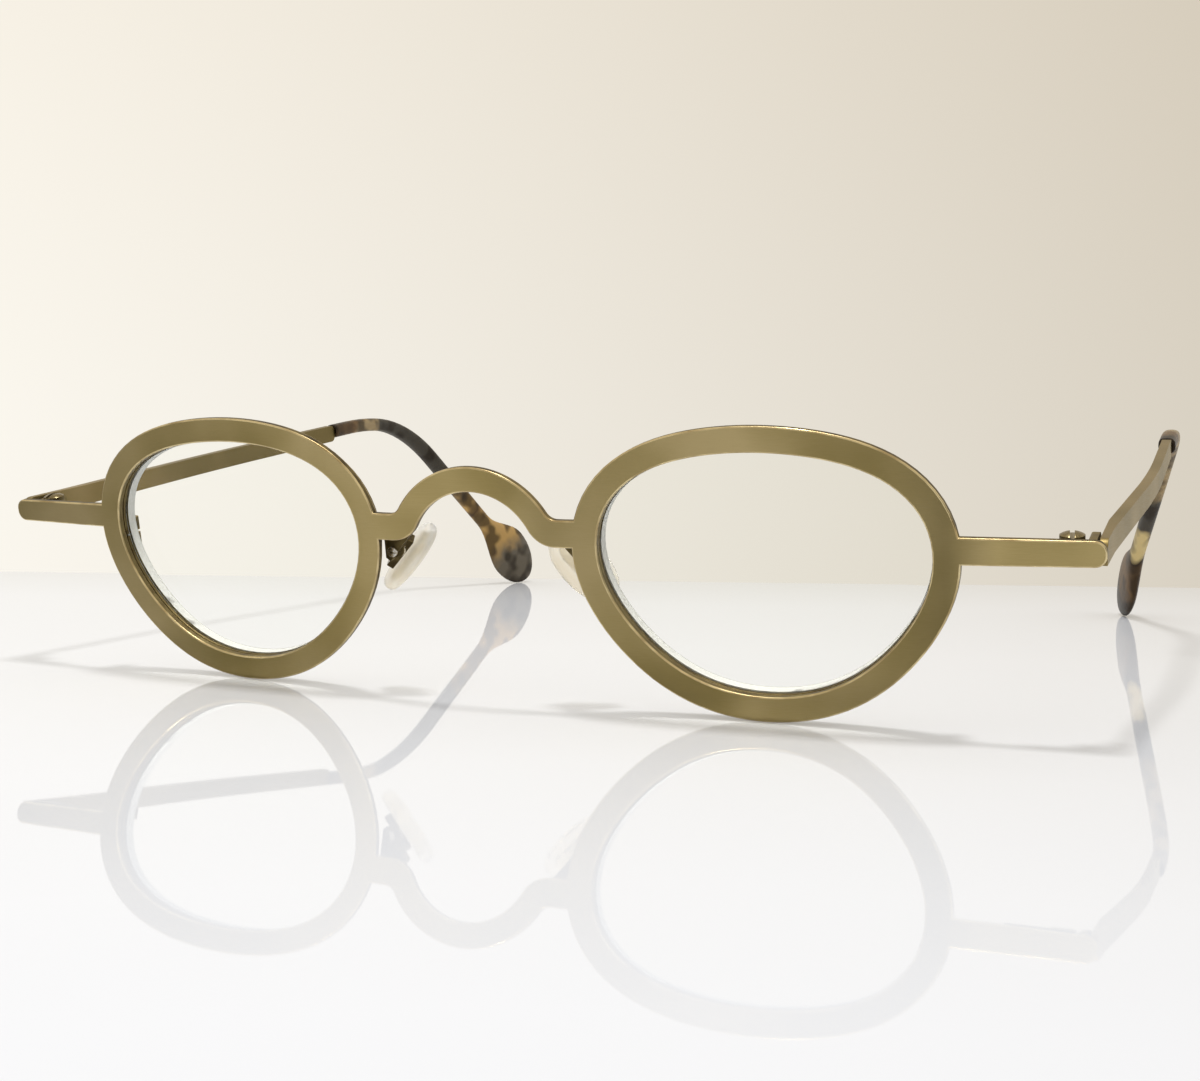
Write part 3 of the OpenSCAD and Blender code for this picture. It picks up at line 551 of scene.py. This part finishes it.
def makeTable():
    material, tree = newMaterial("polishedAcrylicTable")
    place = addNode(tree, "ShaderNodeTexCoord").outputs["Object"]
    left, right = (Vector([mm(v) for v in corner] + [0.0]) for corner in table["farEdgeMm"])
    inward = (right - left).cross(Vector((0, 0, 1))).normalized()
    depth = addNode(tree, "ShaderNodeVectorMath", {0: place, 1: inward}, operation="DOT_PRODUCT")
    start = left.dot(inward)
    share = addNode(tree, "ShaderNodeMapRange", {
        0: depth.outputs["Value"], 1: start, 2: start + mm(table["fadeMm"])})
    colour = addNode(tree, "ShaderNodeValToRGB", {"Fac": share.outputs[0]},
                     [(0.0, table["farEdgeShade"]), (1.0, table["white"])])
    shader = addNode(tree, "ShaderNodeBsdfPrincipled", {
        "Base Color": colour.outputs[0], "Roughness": table["roughness"], "IOR": table["ior"]})
    addNode(tree, "ShaderNodeOutputMaterial", {"Surface": shader.outputs[0]})
    work = bmesh.new()
    near = mm(table["nearMm"])
    corners = [(left.x, near, 0), (right.x, near, 0), right, left]
    top = work.faces.new([work.verts.new(corner) for corner in corners])
    down = bmesh.ops.extrude_face_region(work, geom=[top])
    bmesh.ops.translate(work, verts=[v for v in down["geom"] if isinstance(v, bmesh.types.BMVert)],
                        vec=(0, 0, -mm(table["thickMm"])))
    bmesh.ops.recalc_face_normals(work, faces=work.faces)
    mesh = bpy.data.meshes.new("tableTop")
    work.to_mesh(mesh)
    work.free()
    mesh.materials.append(material)
    obj = bpy.data.objects.new("tableTop", mesh)
    scene.collection.objects.link(obj)


# Studio: a pale wall that shows to the eye, in mirrors and through the lenses, with dim corners that show in mirrors
# only. The light itself is plain and even, with one lamp above for the shadows. wallSpan and the corners are the X of
# a unit direction, wallTop and cornerTop its Z.
studio = {"wall": [(0.0, "#fbf7ee"), (0.52, "#d7cfc0"), (0.76, "#f6f1e6"), (1.0, "#fffdf6")],
          "wallSpan": (-0.68, 0.6), "high": "#faf6f0", "wallTop": 0.42,
          "corner": "#5e594d", "leftCorner": (-0.71, -0.88), "rightCorner": (0.55, 0.85), "cornerTop": (0.1, 0.5),
          "light": "#fcfdff", "strength": 0.66,
          "lampMm": (5.0, -62.0, 560.0), "lampSizeMm": 90.0, "lampWatts": 1.25}


def makeStudio():
    world = bpy.data.worlds.new("studio")
    scene.world = world
    world.use_nodes = True
    tree = world.node_tree
    tree.nodes.clear()
    toward = addNode(tree, "ShaderNodeTexCoord").outputs["Generated"]
    part = addNode(tree, "ShaderNodeSeparateXYZ", {0: toward})
    low, high = studio["wallSpan"]
    share = addNode(tree, "ShaderNodeMapRange", {0: part.outputs["X"], 1: low, 2: high})
    wall = addNode(tree, "ShaderNodeValToRGB", {"Fac": share.outputs[0]}, studio["wall"])
    rise = addNode(tree, "ShaderNodeMapRange", {0: part.outputs["Z"], 1: 0.0, 2: studio["wallTop"]})
    shaded = addNode(tree, "ShaderNodeMix", {
        0: rise.outputs[0], 6: wall.outputs[0], 7: hexLinear(studio["high"])},
        data_type="RGBA", blend_type="MULTIPLY")
    corners = []
    for side in sides:
        low, high = studio[side + "Corner"]
        corners.append(addNode(tree, "ShaderNodeMapRange", {0: part.outputs["X"], 1: low, 2: high}).outputs[0])
    either = addNode(tree, "ShaderNodeMath", {0: corners[0], 1: corners[1]}, operation="MAXIMUM")
    low, high = studio["cornerTop"]
    under = addNode(tree, "ShaderNodeMapRange", {0: part.outputs["Z"], 1: high, 2: low})
    corner = addNode(tree, "ShaderNodeMath", {0: either.outputs[0], 1: under.outputs[0]}, operation="MULTIPLY")
    rays = addNode(tree, "ShaderNodeLightPath")
    dim = addNode(tree, "ShaderNodeMath", {
        0: corner.outputs[0], 1: rays.outputs["Is Glossy Ray"]}, operation="MULTIPLY")
    room = addNode(tree, "ShaderNodeMix", {
        0: dim.outputs[0], 6: shaded.outputs[2], 7: hexLinear(studio["corner"])}, data_type="RGBA")
    seen = addNode(tree, "ShaderNodeBackground", {"Color": room.outputs[2], "Strength": 1.0})
    light = addNode(tree, "ShaderNodeBackground", {
        "Color": hexLinear(studio["light"]), "Strength": studio["strength"]})
    glossy = addNode(tree, "ShaderNodeMath", {
        0: rays.outputs["Is Camera Ray"], 1: rays.outputs["Is Glossy Ray"]}, operation="MAXIMUM")
    shown = addNode(tree, "ShaderNodeMath", {
        0: glossy.outputs[0], 1: rays.outputs["Is Transmission Ray"]}, operation="MAXIMUM")
    mixed = addNode(tree, "ShaderNodeMixShader", {0: shown.outputs[0], 1: light.outputs[0], 2: seen.outputs[0]})
    addNode(tree, "ShaderNodeOutputWorld", {"Surface": mixed.outputs[0]})
    lamp = bpy.data.lights.new("ceilingLamp", "AREA")
    lamp.shape = "DISK"
    lamp.size = mm(studio["lampSizeMm"])
    lamp.energy = studio["lampWatts"]
    obj = bpy.data.objects.new("ceilingLamp", lamp)
    obj.location = [mm(v) for v in studio["lampMm"]]
    scene.collection.objects.link(obj)


makeTable()
makeStudio()
scene.view_settings.view_transform = "Standard"
print("stage: table and light made")
